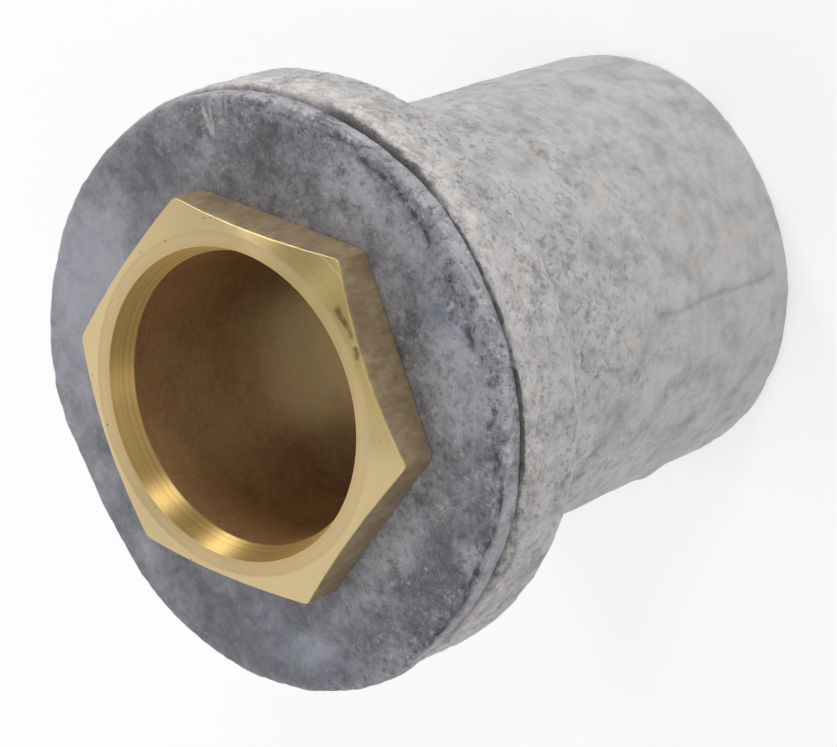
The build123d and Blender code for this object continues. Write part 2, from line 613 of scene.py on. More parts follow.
def castSkin(points):
    # how far the cast skin stands off the plain form: lumps, grain, pits, beads near the rim, the mould
    # seams, one swelling and one blob. It stays off the tapped walls and the seat under the washer
    c = casting
    seed, top = c["seed"], bodyHigh[2]
    radius, up = np.hypot(points[..., 0], points[..., 1]), points[..., 2]
    angles = anglesOf(points)
    start, full = c["skinFromWall"]
    outside = easedStep(radius, threadRadius + start, threadRadius + full)
    outside = outside * easedStep(up, *c["skinFromEnd"])
    start, full = c["seatFromRim"]
    inRim = 1.0 - easedStep(radius, bodyHigh[0] - start, bodyHigh[0] - full)
    start, full = c["seatFromFace"]
    underWasher = easedStep(up, top - start, top - full) * inRim
    size, amount = c["lumps"]
    lift = amount * layeredNoise(points, size, seed, 3)
    size, amount = c["grain"]
    lift += amount * layeredNoise(points, size, seed + 10, 2)
    size, amount, low, high = c["pits"]
    lift -= amount * easedStep(softNoise(points, size, seed + 20), low, high)
    size, amount, low, high = c["beads"]
    start, full = c["beadDepths"]
    rim = easedStep(up, top - start, top - full)
    lift += rim * amount * easedStep(softNoise(points, size, seed + 30), low, high)
    groove, lip = seamShare(points)[:2]
    lift += c["seamDepth"] * (0.6 * lip - groove)
    centre, spread, amount = c["endSwell"]
    fade = 1.0 - easedStep(up, 0.0, top - c["flangeThickness"])
    lift += amount * hump(angleFrom(angles, centre), 0.0, spread) * fade
    centre, level, size, amount = c["blob"]
    beside = np.radians(angleFrom(angles, centre)) * radius
    lift += amount * hump(beside, 0.0, size) * hump(up, level, size)
    return lift * outside * (1.0 - underWasher)


def makeCasting(surface):
    # the barrel, flange, tapped walls and cored ring in one closed section carried round the axis
    c = casting
    top = bodyHigh[2]
    edge = bodyHigh[0]
    wall = threadRadius + c["wallInset"]
    back = top - c["flangeThickness"]
    angles = np.arange(c["columns"]) * 360.0 / c["columns"]
    least, extra, side, spread = c["flangeFrontEdge"]
    frontEdge = least + extra * hump(angleFrom(angles, side), 0.0, spread)
    corners = [
        (c["barrelEndRadius"], 0.0, c["barrelEdge"], 104),
        (c["barrelRootRadius"], back, c["flangeRoot"], 5),
        (edge, back, c["flangeBackEdge"], 16),
        (edge, top, frontEdge, 18),
        (wall + c["flangeMouth"], top, 0.0, 3),
        (wall, top - c["flangeMouth"], 0.0, 10),
        (wall, c["reliefTop"], 0.0, 2),
        (c["reliefRadius"], c["reliefTop"], 0.0, 3),
        (c["reliefRadius"], c["reliefBottom"], 0.0, 2),
        (wall, c["reliefBottom"], 0.0, 10),
        (wall, c["barrelMouth"], 0.0, 3),
        (wall + c["barrelMouth"], 0.0, 0.0, 5),
    ]
    section, stretch = roundedSection(corners, angles, arcSteps=8)
    points = roundTheAxis(section, angles)
    outer = np.isin(stretch, (0, 1, 2, 3))[:, None]
    seamGap = np.where(outer, seamShare(points)[2], c["noSeam"])
    points = points + outward(points) * castSkin(points)[..., None]
    owners = np.zeros(len(stretch), int)
    piece = gridPiece("castCoupler", points, [surface], owners, "coupler")
    storeOnPoints(piece, "seamGap", seamGap)
    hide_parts("coupler_body")
    return piece


# the thread is cut to the metric form: flanks at 30 degrees, half a pitch wide at the middle of the flank
thread = {
    "stepsPerTurn": 60,
    "flankSlope": math.tan(math.radians(30.0)),
    "insideCrest": threadRadius - 0.5413 * threadPitch,
    "outsideRoot": threadRadius - 0.6134 * threadPitch,
    "middle": threadRadius - 0.3248 * threadPitch,
    "tappedRoot": threadRadius + 0.04,
    "sideGap": 0.03,
    "sunk": 0.12,  # the ridge's foot lies this far inside its wall
    "leastRise": 0.02,
    "runOut": 0.35,  # the share of a turn over which each end sinks into the wall
}


def threadRidge(name, span, radii, shift, surface, body):
    # a trapezoid carried along a helix that climbs one pitch a turn, rising out of its wall at both ends:
    # span is its lowest and highest place, radii those of its wall and its crest
    pitch = threadPitch
    baseRadius, crestRadius = radii
    first, last = (span[0] - shift) / pitch, (span[1] - shift) / pitch
    turns = np.linspace(first, last, int((last - first) * thread["stepsPerTurn"]))
    rise = easedStep(turns, first, first + thread["runOut"])
    rise = rise * (1.0 - easedStep(turns, last - thread["runOut"], last))
    inward = 1.0 if crestRadius < baseRadius else -1.0
    crest = baseRadius + (crestRadius - baseRadius) * np.maximum(rise, thread["leastRise"])

    def halfWidth(radius):
        slope = inward * (radius - thread["middle"]) * thread["flankSlope"]
        return 0.25 * pitch - thread["sideGap"] + slope

    wide = np.full_like(turns, halfWidth(baseRadius))
    deep = np.full_like(turns, baseRadius + inward * thread["sunk"])
    base = np.full_like(turns, baseRadius)
    narrow = halfWidth(crest)
    across = np.stack([deep, base, crest, crest, base, deep], axis=-1)
    up = np.stack([-wide, -wide, -narrow, narrow, wide, wide], axis=-1)
    if inward > 0:
        across, up = across[:, ::-1], up[:, ::-1]
    turn = 2.0 * math.pi * turns[:, None]
    height = shift + pitch * turns[:, None] + up
    points = np.stack([across * np.cos(turn), across * np.sin(turn), height], axis=-1)[:, ::-1]
    piece = gridPiece(name, points, [surface], np.zeros(len(turns), int), body, capEnds=True)
    piece.data.polygons.foreach_set("use_smooth", [False] * len(piece.data.polygons))
    return piece


zincSkin = zincSurface()
makeCasting(zincSkin)
tapped = (thread["tappedRoot"], thread["insideCrest"])
# each ridge runs a little past the ends of its plain wall
conduitSpan = (casting["barrelMouth"] - 0.3, casting["reliefBottom"] + 0.1)
bushSideSpan = (casting["reliefTop"] - 0.1, bodyHigh[2] - casting["flangeMouth"] + 0.1)
threadRidge("conduitThread", conduitSpan, tapped, 0.0, zincSkin, "coupler")
threadRidge("bushSideThread", bushSideSpan, tapped, 0.0, zincSkin, "coupler")
print("casting and its threads made")


lead = {
    "light": shade(187, 188, 196),
    "dark": shade(109, 110, 115),
    "blue": shade(132, 140, 162),
    "pink": shade(186, 172, 174),
    "stain": shade(70, 70, 73),
    "rubbed": shade(176, 176, 180),
    "bloom": shade(204, 198, 198),
    # near-black for the dark specks and for the painted shade in the joint with the flange
    "soot": shade(54, 53, 56),
    "roughness": 0.54,
    "metal": 0.3,
    "tone": (3.0, 11.0, 9.0, 0.74, 0.3),
    "toneCut": (0.26, 0.78),
    "tint": (2.5, 12.0, 5.0, 0.6),
    "blueCut": (0.48, 0.0, 0.0, 0.55),
    "pinkCut": (0.52, 1.0, 0.0, 0.55),
    # the rubbed side: stains, specks and crumbs, each a noise with a cut for its dark and for its pale
    "roughSide": (240.0, -0.5, 0.4, 0.15, 1.0),
    "stains": (1.4, 13.0, 7.0, 0.78, 0.3),
    "stainsDark": (0.50, 0.66, 0.0, 0.55),
    "stainsPale": (0.48, 0.34, 0.0, 0.6),
    "specks": (0.9, 14.0, 6.0, 0.75),
    "specksDark": (0.60, 0.70, 0.0, 0.5),
    "specksPale": (0.44, 0.34, 0.0, 0.75),
    "crumbs": (0.6, 17.0, 5.0, 0.75, 0.4),
    "crumbsDark": (0.52, 0.64),
    "crumbsPale": (0.46, 0.34),
    "crumbShares": (0.3, 0.8),  # away from the rim and near it
    # crooked marks: (size, seed, width), and their share
    "worms": (0.9, 16.0, 0.08),
    "wormShare": 0.35,
    "rubCut": (0.60, 0.42, 0.0, 0.6),
    "chewCut": (0.44, 0.54, 0.1, 1.0),
    # where the rim is still sharp: its pale edge by millimetres in from it, and the ragged dark line
    "sharpSide": (188.0, 0.88, 0.965),
    "paleEdge": (0.22, 0.05, 0.0, 0.36),
    "borderWander": ((1.2, 20.0, 4.0, 0.65), 1.6),
    "borderInset": 0.35,
    "borderCut": (0.36, 0.0, 0.0, 0.9),
    "borderStains": (0.42, 0.56, 0.15, 1.0),
    "borderStart": (0.04, 0.14),
    # painted shade in the joint with the flange: by height above it and by millimetres in from the rim
    "sootSide": (248.0, 0.55, 0.8, 0.2, 1.0),
    "sootHeights": (0.08, 0.01),
    "sootReach": (1.6, 0.9),
    "uneven": (1.6, 15.0, 4.0),
    # the bumps of the unevenness, stains, specks and crumbs: (depth in millimetres, strength)
    "bumps": ((0.10, 0.6), (0.10, 0.7), (-0.13, 0.9), (-0.05, 0.8)),
}


def scratchShare(tree, place):
    # two strokes that meet at their inner end, each a ramp of the distance beside its own line, ragged
    # and broken
    w = washer
    inner, outer = w["scratchReach"]
    radius = distanceFromAxis(tree, place)
    turn = worked(tree, "SUBTRACT", angleOf(tree, place), w["scratchAngle"] - 360.0)
    ragged = centred(tree, place, *w["scratchRagged"])
    aside = total(tree, product(tree, turn, math.pi / 180.0, radius), ragged)
    along = worked(tree, "SUBTRACT", radius, inner * mm)
    strokes = 0.0
    for lean in w["scratchLeans"]:
        beside = apart(tree, aside, product(tree, along, lean))
        stroke = spanned(tree, beside, w["scratchWidth"], 0.2 * w["scratchWidth"])
        strokes = largest(tree, strokes, stroke)
    start, end = w["scratchEnds"]
    started = spanned(tree, radius, inner, inner + start)
    ended = spanned(tree, radius, outer, outer - end)
    broken = patches(tree, place, *w["scratchBroken"])
    return product(tree, strokes, product(tree, started, ended), broken)


def leadSurface():
    # oxidised lead: pale and dark patches with ragged edges, some blue or pinkish, under a fine grain, and
    # on the rubbed side dark marks, pale scuffs and specks, thickest along the chewed rim
    v = lead
    surface, tree, shader, place = newSurface("oxidisedLead")
    tone = total(tree, stored(tree, "tone"), cloud(tree, place, *v["tone"]))
    base = mixed(tree, ramped(tree, tone, *v["toneCut"]), v["dark"], v["light"])
    tint = total(tree, stored(tree, "tint"), cloud(tree, place, *v["tint"]))
    base = mixed(tree, ramped(tree, tint, *v["blueCut"]), base, v["blue"])
    base = mixed(tree, ramped(tree, tint, *v["pinkCut"]), base, v["pink"])
    rough = towards(tree, place, *v["roughSide"])
    stains = cloud(tree, place, *v["stains"])
    specks = cloud(tree, place, *v["specks"])
    crumbs = cloud(tree, place, *v["crumbs"])
    inset = stored(tree, "inset")

    def overlaid(base, pattern, cut, where, color):
        # the colour laid on where the pattern's cut and the place agree
        return mixed(tree, product(tree, ramped(tree, pattern, *cut), where), base, color)

    base = overlaid(base, stains, v["stainsDark"], rough, v["stain"])
    base = overlaid(base, stains, v["stainsPale"], rough, v["rubbed"])
    marks = product(tree, wormMarks(tree, place, *v["worms"]), product(tree, rough, v["wormShare"]))
    base = mixed(tree, marks, base, v["stain"])
    base = overlaid(base, specks, v["specksDark"], rough, v["soot"])
    base = overlaid(base, specks, v["specksPale"], rough, v["bloom"])
    base = overlaid(base, stains, v["rubCut"], stored(tree, "rub"), v["rubbed"])
    # fine crumbs, pale and dark, thickest near the rim
    thick = product(tree, ramped(tree, stored(tree, "rim"), 0.0, 1.0, *v["crumbShares"]), rough)
    base = overlaid(base, crumbs, v["crumbsDark"], thick, v["stain"])
    base = overlaid(base, crumbs, v["crumbsPale"], thick, v["bloom"])
    base = mixed(tree, scratchShare(tree, place), base, v["bloom"])
    base = overlaid(base, specks, v["chewCut"], stored(tree, "chew"), v["stain"])
    # where the rim is still sharp its edge is pale, and the face ends above it in a ragged dark line
    sharp = towards(tree, place, *v["sharpSide"])
    base = overlaid(base, inset, v["paleEdge"], sharp, v["rubbed"])
    ragged = total(tree, inset, centred(tree, place, *v["borderWander"]))
    beside = apart(tree, ragged, v["borderInset"])
    border = product(tree, ramped(tree, beside, *v["borderCut"]), ramped(tree, stains, *v["borderStains"]))
    border = product(tree, border, ramped(tree, inset, *v["borderStart"]), sharp)
    base = mixed(tree, border, base, v["stain"])
    # painted shade in the joint with the flange, only so far in
    heights = [washerLow[2] + above for above in v["sootHeights"]]
    low = spanned(tree, heightOf(tree, place), *heights)
    joint = product(tree, low, towards(tree, place, *v["sootSide"]))
    base = overlaid(base, inset, v["sootReach"], joint, v["soot"])
    tree.links.new(base, shader.inputs["Base Color"])
    shader.inputs["Roughness"].default_value = v["roughness"]
    shader.inputs["Metallic"].default_value = v["metal"]
    uneven = cloud(tree, place, *v["uneven"])
    bumped(tree, shader, (uneven, stains, specks, crumbs), v["bumps"])
    return surface


washer = {
    "columns": 600,
    "radius": 22.0,
    "holeRadius": 12.8,
    # the back edge's round, and more where the washer stands off the flange: (round, extra, side, spread)
    "backEdge": (0.14, 0.35, 284.0, 20.0),
    # the front edge's round, less by an amount about a side: (round, amount, side, spread)
    "frontEdge": (0.4, 0.22, 188.0, 25.0),
    # the rim is chewed in a crooked band just inside it: (distance in, extra, side, spread), then the
    # band's half width and depth, and the side where it is worst
    "chewInset": (0.32, 1.2, 250.0, 37.0),
    "chewWidth": 0.42,
    "chewDepth": 0.06,
    "chewSide": 246.0,
    # where the face is paler or darker, bluer or pinker:
    # (angle, radius, spread round, spread across, paler, pinker)
    "patches": (
        (25.0, 19.0, 24.0, 6.0, 0.18, 0.0),
        (88.0, 19.3, 4.0, 1.2, 0.20, 0.0),
        (128.0, 19.0, 26.0, 6.0, -0.09, -0.15),
        (136.0, 19.7, 7.0, 1.6, 0.22, -0.1),
        (186.0, 19.5, 18.0, 3.0, -0.18, 0.0),
        (191.0, 20.3, 4.0, 1.2, 0.26, 0.1),
        (176.0, 15.6, 13.0, 1.4, 0.22, 0.25),
        (206.0, 18.5, 7.0, 4.0, -0.08, 0.1),
        (225.0, 18.0, 7.0, 2.5, 0.14, 0.1),
        (237.0, 18.6, 8.0, 2.8, 0.24, -0.20),
        (247.0, 18.2, 6.0, 1.6, -0.02, -0.40),
        (264.0, 18.8, 10.0, 2.0, 0.08, 0.0),
        (281.0, 18.8, 9.0, 2.0, 0.15, 0.05),
        (304.0, 18.3, 13.0, 3.2, -0.18, 0.0),
        (312.0, 21.6, 12.0, 0.7, 0.18, 0.35),
        (342.0, 19.5, 14.0, 3.0, -0.10, 0.0),
        (358.0, 20.0, 10.0, 3.0, -0.05, 0.0),
        (15.0, 17.5, 12.0, 1.8, 0.12, 0.0),
    ),
    # where lead has spread out or been pushed in: (angle, spread, amount)
    "swells": (
        (138.0, 30.0, 0.95),
        (72.0, 21.0, -1.3),
        (268.0, 11.0, 0.30),
        (203.0, 9.0, 0.22),
        (328.0, 9.0, 0.15),
        (28.0, 20.0, -0.26),
        (152.0, 9.0, 0.16),
        (230.0, 15.0, 0.16),
    ),
    # the cut edge's unevenness, (size, height), read round a circle of the radius below
    "cutEdge": (2.6, 0.07),
    "noiseRadius": 20.0,
    # the face's waves and ripples, (size, height), and its small dents, (size, depth, from, to)
    "waves": (5.0, 0.06),
    "ripples": (1.2, 0.03),
    "dents": (1.1, 0.08, 0.5, 0.9),
    # more ripples near the rim: (size, height), and (distance in, spread)
    "rimRipples": (0.8, 0.05),
    "rimBand": (0.1, 0.9),
    # the face is flat out to the first radius and uneven from the second; so is the side by height
    "flatRadius": (15.7, 16.6),
    "flatHeight": (0.1, 0.5),
    "faceDepth": 0.6,
    # a scratch of two strokes in one shallow groove: its angle, inner and outer radius, the lean of each
    # stroke and its width, the groove's spread and depth
    "scratchAngle": 322.0,
    "scratchReach": (18.8, 21.7),
    "scratchLeans": (0.16, -0.12),
    "scratchWidth": 0.26,
    "scratchSpread": 0.24,
    "scratchDepth": 0.12,
    # its ends fade over these lengths; its sides are ragged and its pale colour is broken
    "scratchEnds": (0.5, 0.4),
    "scratchRagged": ((0.5, 18.0, 4.0, 0.7), 0.3 * mm),
    "scratchBroken": ((0.4, 19.0, 3.0), (0.35, 0.6, 0.35, 0.9)),
    "seed": 51,
}


def washerChew(inset, angles, points, onFace):
    # the chewed band, 0 to 1: a crooked ring of pits drawn out along the rim. Noise is read along the rim
    # at a third of its length, and across it
    w = washer
    along = np.broadcast_to(w["noiseRadius"] * np.radians(angles) / 3.0, inset.shape)
    worst = easedStep(np.cos(np.radians(angleFrom(angles, w["chewSide"]))), 0.1, 0.7) * onFace
    pits = softNoise(np.stack([along, inset, 0.0 * inset], axis=-1), 0.45, w["seed"] + 21)
    pits += 0.5 * softNoise(points, 0.5, w["seed"] + 22)
    least, extra, side, spread = w["chewInset"]
    middle = least + extra * hump(angleFrom(angles, side), 0.0, spread)
    wander = 0.3 * softNoise(np.stack([along, 0.0 * along, 0.0 * along], axis=-1), 0.9, w["seed"] + 26)
    return worst * hump(inset - middle - wander, 0.0, w["chewWidth"]) * easedStep(pits, -0.3, 0.3)


def makeWasher(surface):
    # a flat ring whose outline swells and dips by bells of angle, with soft edges and a waved face
    w = washer
    angles = np.arange(w["columns"]) * 360.0 / w["columns"]
    turn = np.radians(angles)
    rim = np.full_like(angles, w["radius"])
    for centre, spread, amount in w["swells"]:
        rim = rim + amount * hump(angleFrom(angles, centre), 0.0, spread)
    reach = w["noiseRadius"]
    ring = np.stack([reach * np.cos(turn), reach * np.sin(turn), 0.0 * turn], axis=-1)
    size, height = w["cutEdge"]
    rim = rim + height * layeredNoise(ring, size, w["seed"], 4)
    bottom, top = washerLow[2], washerHigh[2]
    edge, less, side, spread = w["frontEdge"]
    frontEdge = edge - less * hump(angleFrom(angles, side), 0.0, spread)
    edge, more, side, spread = w["backEdge"]
    backEdge = edge + more * hump(angleFrom(angles, side), 0.0, spread)
    corners = [
        (rim, bottom, backEdge, 5),
        (rim, top, frontEdge, 52),
        (w["holeRadius"], top, 0.0, 3),
        (w["holeRadius"], bottom, 0.0, 14),
    ]
    section, stretch = roundedSection(corners, angles, arcSteps=7)
    points = roundTheAxis(section, angles)
    radius = np.hypot(points[..., 0], points[..., 1])
    inset = rim - radius
    onFace = points[..., 2] > top - w["faceDepth"]
    # the waved face, kept flat under the bush's hexagon and on the flange
    low, high = w["flatHeight"]
    clear = easedStep(radius, *w["flatRadius"]) * easedStep(points[..., 2], bottom + low, bottom + high)
    size, height = w["waves"]
    wave = height * layeredNoise(points, size, w["seed"] + 5, 3)
    size, height = w["ripples"]
    wave += height * layeredNoise(points, size, w["seed"] + 9, 3)
    size, depth, low, high = w["dents"]
    wave -= depth * easedStep(softNoise(points, size, w["seed"] + 13), low, high)
    size, height = w["rimRipples"]
    wave += height * layeredNoise(points, size, w["seed"] + 15, 2) * hump(inset, *w["rimBand"])
    start, end = w["scratchReach"]
    aside = np.radians(angleFrom(np.broadcast_to(angles, radius.shape), w["scratchAngle"])) * radius
    scratch = hump(aside, 0.0, w["scratchSpread"]) * hump(radius, (start + end) / 2, (end - start) / 2)
    scratch = scratch * onFace
    chew = washerChew(inset, angles, points, onFace)
    tone, tint = np.zeros_like(radius), np.zeros_like(radius)
    for side, reach, spread, width, paler, pinker in w["patches"]:
        here = hump(angleFrom(angles, side), 0.0, spread) * hump(radius, reach, width)
        tone += paler * here
        tint += pinker * here
    lift = (wave - w["scratchDepth"] * scratch - w["chewDepth"] * chew) * clear
    points = points + outward(points) * lift[..., None]
    piece = gridPiece("leadRing", points, [surface], np.zeros(len(stretch), int), "washer")
    outer = easedStep(-inset, -0.9, -0.2) * (0.5 + 0.5 * softNoise(points, 3.0, w["seed"] + 17))
    storeOnPoints(piece, "rub", np.clip(outer, 0.0, 1.0))
    storeOnPoints(piece, "chew", chew)
    storeOnPoints(piece, "rim", easedStep(-inset, -2.6, -0.9))
    storeOnPoints(piece, "inset", inset)
    storeOnPoints(piece, "tone", tone)
    storeOnPoints(piece, "tint", tint)
    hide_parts("lead_washer")
    return piece


makeWasher(leadSurface())
print("lead washer made")


brass = {
    "face": shade(233, 207, 160),
    "faceDeep": shade(216, 188, 132),
    # cone is the darker yellow of the painted shade on one side of the corner cone, pale the painted
    # reflection on its other side
    "cone": shade(198, 176, 112),
    "pale": shade(247, 224, 170),
    "streak": shade(250, 232, 176),
    "mouth": shade(232, 200, 126),
    "mouthDeep": shade(196, 156, 88),
    "flat": shade(192, 170, 136),
    "flatDeep": shade(156, 133, 102),
    "bore": shade(247, 217, 156),
    "boreDeep": shade(182, 137, 90),
    "rubbed": shade(244, 224, 160),
    "grime": shade(86, 64, 38),
    # each surface's metal and roughness, and how far the face's highlights are drawn out
    "faceMetal": (0.9, 0.45),
    "flatMetal": (0.6, 0.5),
    "boreMetal": (0.7, 0.42),
    "drawnOut": 0.9,
    # the tool's rings, each (size, seed), and how far they drift in millimetres
    "faceRings": (0.35, 21.0),
    "coneStreaks": (0.3, 25.0),
    "mouthLines": (0.14, 26.0),
    "boreRings": (0.8, 41.0),
    "ringDrift": 0.1,
    # the face: cuts of its rings, patches, and by the distance from the axis where the cone and mouth begin
    "faceCut": (0.3, 0.7, 0.0, 0.6),
    "facePatches": ((3.5, 22.0), (0.5, 0.7, 0.0, 0.4)),
    "faceGrain": (0.3, 24.0, 3.0),
    "faceBumps": ((0.006, 0.6), (0.01, 0.5)),
    "faceMarks": (23.0, 0.4),  # the seed of its specks and the share of wear at its edge
    "coneStart": (12.8, 13.1),
    # the cone's painted shade lies towards this side, its painted reflection away from it
    "coneSide": (256.0, 0.64, 0.95),
    "coneYellow": (0.0, 1.0, 0.3, 0.75),
    "conePaler": (0.5, 0.0, 0.0, 0.7),
    "brushedSide": (275.0, 0.7, 0.95, 0.15, 1.0),
    "streaksLight": (0.52, 0.68, 0.0, 0.5),
    "streaksDeep": (0.48, 0.34, 0.0, 0.5),
    "mouthStart": (11.95, 11.75, 0.0, 0.9),
    "mouthCut": (0.30, 0.62, 0.3, 1.0),
    "specks": (0.71, 0.77),
    # the flats: streaks drawn out along the bar
    "flatStretch": (1.0, 1.0, 0.4),
    "flatStreaks": (0.8, 31.0, 7.0, 0.7),
    "flatCut": (0.3, 0.7),
    "flatPatches": ((2.5, 32.0, 4.0), (0.5, 0.7, 0.0, 0.5)),
    "flatGrain": (0.5, 34.0, 3.0),
    "flatBumps": ((0.01, 0.6), (0.02, 0.5)),
    "flatMarks": (33.0, 0.6),
    # the bore: its painted patch of light faces this side, and fills from the first height down to the
    # second
    "cleanSide": (55.0, 0.80, 0.99),
    "cleanHeights": (36.0, 28.0, 0.15, 1.0),
    "cleanDrift": ((7.0, 44.0, 2.0), 6.0 * mm),
    "cleanShare": 0.86,
    "boreCut": (0.2, 0.8, 0.0, 0.12),
    "borePatches": ((5.0, 42.0, 6.0, 0.6), (0.3, 0.7, 0.03, 0.30)),
    "boreSpecks": ((0.35, 45.0, 3.0, 0.7), (0.35, 0.65, -0.1, 0.1)),
    "boreGrain": (0.5, 43.0, 4.0),
    "boreBumps": ((0.015, 0.5),),
}


def turningMarks(tree, place, size, seed):
    # fine rings: noise read along the distance from the axis and the height only, with a little drift
    # round the axis
    drift = product(tree, cloud(tree, place, 8.0, seed + 0.5, 1.0), brass["ringDrift"] * mm)
    radius = total(tree, distanceFromAxis(tree, place), drift)
    along = addNode(tree, "CombineXYZ", {0: radius, 1: heightOf(tree, place)})
    return cloud(tree, along, size, seed, 4.0, 0.7)


def setMetal(shader, metal, roughness):
    shader.inputs["Metallic"].default_value = metal
    shader.inputs["Roughness"].default_value = roughness


def drawOutHighlights(tree, shader, amount):
    # the tool's rings draw every highlight out across them
    shader.inputs["Anisotropic"].default_value = amount
    shader.inputs["Anisotropic Rotation"].default_value = 0.25
    tangent = tree.nodes.new("ShaderNodeTangent")
    tangent.direction_type = "RADIAL"
    tangent.axis = "Z"
    tree.links.new(tangent.outputs[0], shader.inputs["Tangent"])


def withMarks(tree, place, base, seed, rubShare):
    # dark specks and nicks, and the pale line that wear leaves along an edge
    specks = patches(tree, place, (0.45, seed, 2.0), brass["specks"])
    base = mixed(tree, product(tree, stored(tree, "rub"), rubShare), base, brass["rubbed"])
    return mixed(tree, largest(tree, specks, stored(tree, "nick")), base, brass["grime"])


def faceSurface():
    # the face and mouth as they left the lathe: pale brass with fine rings and a yellower mouth, and on the
    # corner cone painted shade, darker and yellower, on one side and painted reflection, paler, on the
    # other
    v = brass
    surface, tree, shader, place = newSurface("turnedBrass")
    rings = turningMarks(tree, place, *v["faceRings"])
    radius = distanceFromAxis(tree, place)
    base = mixed(tree, ramped(tree, rings, *v["faceCut"]), v["face"], v["faceDeep"])
    base = mixed(tree, patches(tree, place, *v["facePatches"]), base, v["faceDeep"])
    # the cone: painted shade, darker and yellower, on one side, painted reflection, paler, on the other,
    # and brushed in light and dark streaks
    onCone = spanned(tree, radius, *v["coneStart"])
    shadedSide = towards(tree, place, *v["coneSide"])
    paler = product(tree, ramped(tree, shadedSide, *v["conePaler"]), onCone)
    base = mixed(tree, paler, base, v["pale"])
    shadedSide = product(tree, shadedSide, ramped(tree, onCone, *v["coneYellow"]))
    base = mixed(tree, shadedSide, base, v["cone"])
    streaks = turningMarks(tree, place, *v["coneStreaks"])
    brushed = product(tree, towards(tree, place, *v["brushedSide"]), onCone)
    light = product(tree, ramped(tree, streaks, *v["streaksLight"]), brushed)
    base = mixed(tree, light, base, v["streak"])
    deep = product(tree, ramped(tree, streaks, *v["streaksDeep"]), brushed)
    base = mixed(tree, deep, base, v["mouthDeep"])
    # the mouth, with finer lines
    lines = turningMarks(tree, place, *v["mouthLines"])
    mouth = mixed(tree, ramped(tree, lines, *v["mouthCut"]), v["mouthDeep"], v["mouth"])
    base = mixed(tree, spanned(tree, radius, *v["mouthStart"]), base, mouth)
    base = withMarks(tree, place, base, *v["faceMarks"])
    tree.links.new(base, shader.inputs["Base Color"])
    setMetal(shader, *v["faceMetal"])
    drawOutHighlights(tree, shader, v["drawnOut"])
    grain = cloud(tree, place, *v["faceGrain"])
    bumped(tree, shader, (rings, grain), v["faceBumps"])
    return surface


def flatsSurface():
    # the drawn flats: dull and brown, with faint streaks along the bar and a few stains
    v = brass
    surface, tree, shader, place = newSurface("dullBrass")
    streaks = cloud(tree, stretched(tree, place, *v["flatStretch"]), *v["flatStreaks"])
    base = mixed(tree, ramped(tree, streaks, *v["flatCut"]), v["flatDeep"], v["flat"])
    base = mixed(tree, patches(tree, place, *v["flatPatches"]), base, v["flatDeep"])
    base = withMarks(tree, place, base, *v["flatMarks"])
    tree.links.new(base, shader.inputs["Base Color"])
    setMetal(shader, *v["flatMetal"])
    grain = cloud(tree, place, *v["flatGrain"])
    bumped(tree, shader, (streaks, grain), v["flatBumps"])
    return surface


def boreSurface():
    # the bored wall: brown brass with a broad painted patch of light half-way down, and faint rings from
    # the tool
    v = brass
    surface, tree, shader, place = newSurface("boredBrass")
    # the painted patch of light: by angle, and below a height that drifts a little
    height = total(tree, heightOf(tree, place), centred(tree, place, *v["cleanDrift"]))
    paintedLight = product(tree, towards(tree, place, *v["cleanSide"]), spanned(tree, height, *v["cleanHeights"]))
    paintedLight = product(tree, paintedLight, v["cleanShare"])
    rings = ramped(tree, turningMarks(tree, place, *v["boreRings"]), *v["boreCut"])
    stains = patches(tree, place, *v["borePatches"])
    specks = patches(tree, place, *v["boreSpecks"])
    base = mixed(tree, total(tree, rings, stains, paintedLight, specks), v["boreDeep"], v["bore"])
    tree.links.new(base, shader.inputs["Base Color"])
    setMetal(shader, *v["boreMetal"])
    bumped(tree, shader, [cloud(tree, place, *v["boreGrain"])], v["boreBumps"])
    return surface


bush = {
    "columns": 600,
    "cornerCrowding": 0.12,
    "cornerPower": 120.0,
    "faceRingRadius": 12.9,
    "coneAngle": 22.0,
    "mouthRadius": 11.8,
    "mouthDepth": 2.0,
    "mouthEdge": 0.05,
    "topEdge": 0.12,
    "backEdge": 0.15,
    "reliefRadius": 11.7,
    "reliefWidth": 1.6,
    "boreEndChamfer": 0.4,
    # one nick runs in from the top edge: its first and last angle, and how far in it is at each
    "nickAngles": (250.5, 260.0),
    "nickInsets": (0.2, 0.85),
    "nickHalfWidth": 0.28,
    "nickDepth": 0.06,
    "nickWander": 0.06,
    "nickSoftness": (0.5, 0.8),  # its side's fade at the start, and how much wider it grows
    # small dark dents follow the same edge over these angles: (distance in, spread) and (size, from, to)
    "dentAngles": (228.0, 252.0),
    "dentBand": (0.25, 0.22),
    "dents": (0.45, 0.25, 0.6),
    # the worn edge: (size, from, to), its spread and its depth
    "wear": (1.3, 0.1, 0.7),
    "wearSpread": 0.25,
    "wearDepth": 0.04,
    # the rubbed line along the same edge: (size, seed) and its spread
    "rub": (0.7, 5),
    "rubSpread": 0.12,
    "seed": 71,
}


def hexagonRadius(angles, half, power):
    # flats at 0, 60 and 120 degrees: the p-norm of the distances to the three pairs rounds the corners
    reach = sum(np.abs(np.cos(np.radians(angles - flat))) ** power for flat in (0.0, 60.0, 120.0))
    return half / reach ** (1.0 / power)


def between(angles, low, high):
    # 1 between the two angles, with an eased end two degrees wide about each
    return easedStep(angles, low - 1.0, low + 1.0) * (1.0 - easedStep(angles, high - 1.0, high + 1.0))


